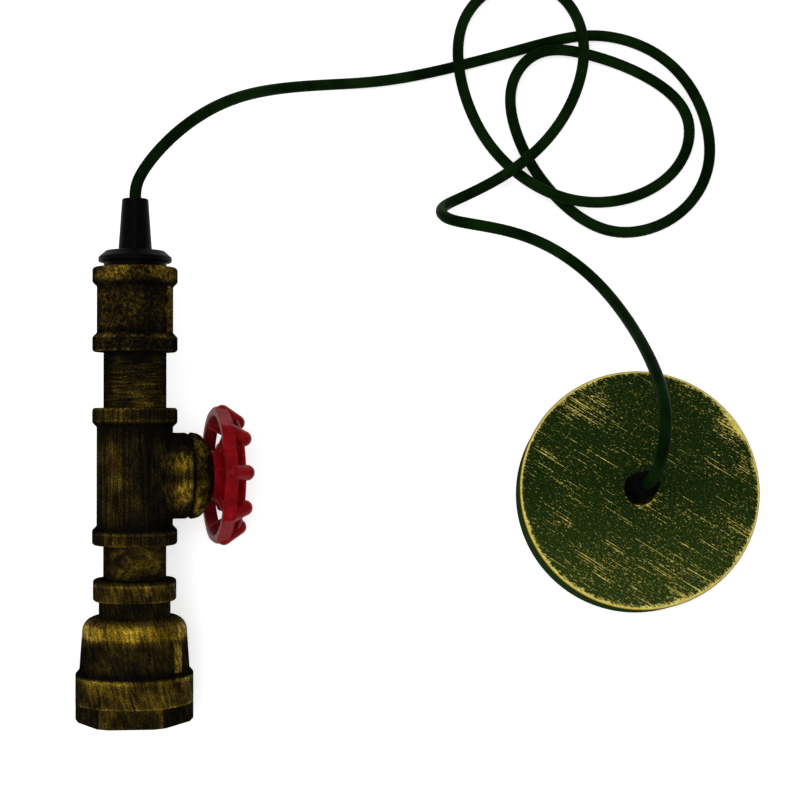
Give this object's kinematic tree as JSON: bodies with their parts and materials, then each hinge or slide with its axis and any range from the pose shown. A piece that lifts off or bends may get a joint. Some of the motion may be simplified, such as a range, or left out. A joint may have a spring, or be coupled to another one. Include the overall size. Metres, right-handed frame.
{
  "type": "pendant light",
  "caption": "Pendant light of pipe fittings with a lampholder in its mouth, a red valve handwheel, a round flex and a ceiling rose.",
  "frame": {"origin": "middle of the ceiling bracket's two screw slots, on the ceiling face", "axes": "-Z into the ceiling; +X along the bracket and the longest side without the flex, from the lamp to the rose; +Y along the lamp towards its flex"},
  "size_m": [0.2981, 0.3519, 0.0873],
  "materials": {
    "antique_bronze": "dark antique bronze paint, brushed back to gold on edges",
    "worn_gold": "green-black paint scratched through to gold",
    "black_plastic": "moulded, satin",
    "flex_pvc": "smooth PVC sheath",
    "red_paint": "gloss enamel on a casting",
    "steel": "turned",
    "dark_screw": "blackened",
    "zinc_steel": "zinc plated",
    "brass": "bright",
    "white_nylon": "moulded",
    "porcelain": "glazed",
    "live_pvc": "PVC sleeve",
    "neutral_pvc": "PVC sleeve",
    "earth_pvc": "PVC sleeve"
  },
  "bodies": {
    "fixture": {"coupling": "antique_bronze", "upper_nipple": "antique_bronze", "tee": "antique_bronze", "lower_nipple": "antique_bronze", "reducer": "antique_bronze", "branch_plug": "antique_bronze", "rose_cup": "worn_gold", "rose_cord_grip": "black_plastic", "rose_grip_nut": "black_plastic", "pipe_cord_grip": "black_plastic", "pipe_grip_nut": "black_plastic", "top_cap": "black_plastic", "cord": "flex_pvc", "rose_cord_tail": "flex_pvc", "pipe_cord_tail": "flex_pvc", "side_screws": "dark_screw", "ceiling_bracket": "zinc_steel", "lampholder_plate": "zinc_steel", "hollow_stud": "zinc_steel", "stud_nut": "zinc_steel", "terminal_inserts": "brass", "terminal_screws": "brass", "earth_screw": "brass", "screw_shell": "brass", "lamp_terminal_screws": "brass", "terminal_block": "white_nylon", "lampholder_base": "porcelain", "lampholder_sleeve": "porcelain", "rose_live_core": "live_pvc", "live_core": "live_pvc", "rose_neutral_core": "neutral_pvc", "neutral_core": "neutral_pvc", "rose_earth_core": "earth_pvc", "earth_core": "earth_pvc"},
    "wheel": {"spindle": "steel", "handwheel": "red_paint", "wheel_washer": "steel", "wheel_nut": "steel", "spindle_lock_nut": "steel"},
    "contact": {"centre_contact": "brass"}
  },
  "joints": [
    {"name": "handwheel_turn", "type": "hinge", "parent": "fixture", "child": "wheel", "pos_m": [-0.18892, 0.00546, 0.03036], "axis": [0.9563, 0.0449, -0.2889], "continuous": true},
    {"name": "contact_press", "type": "slide", "parent": "fixture", "child": "contact", "axis": [0, 0.9881, 0.1536], "range_m": [0, 0.0015], "stiffness_N_per_m": 1500}
  ]
}
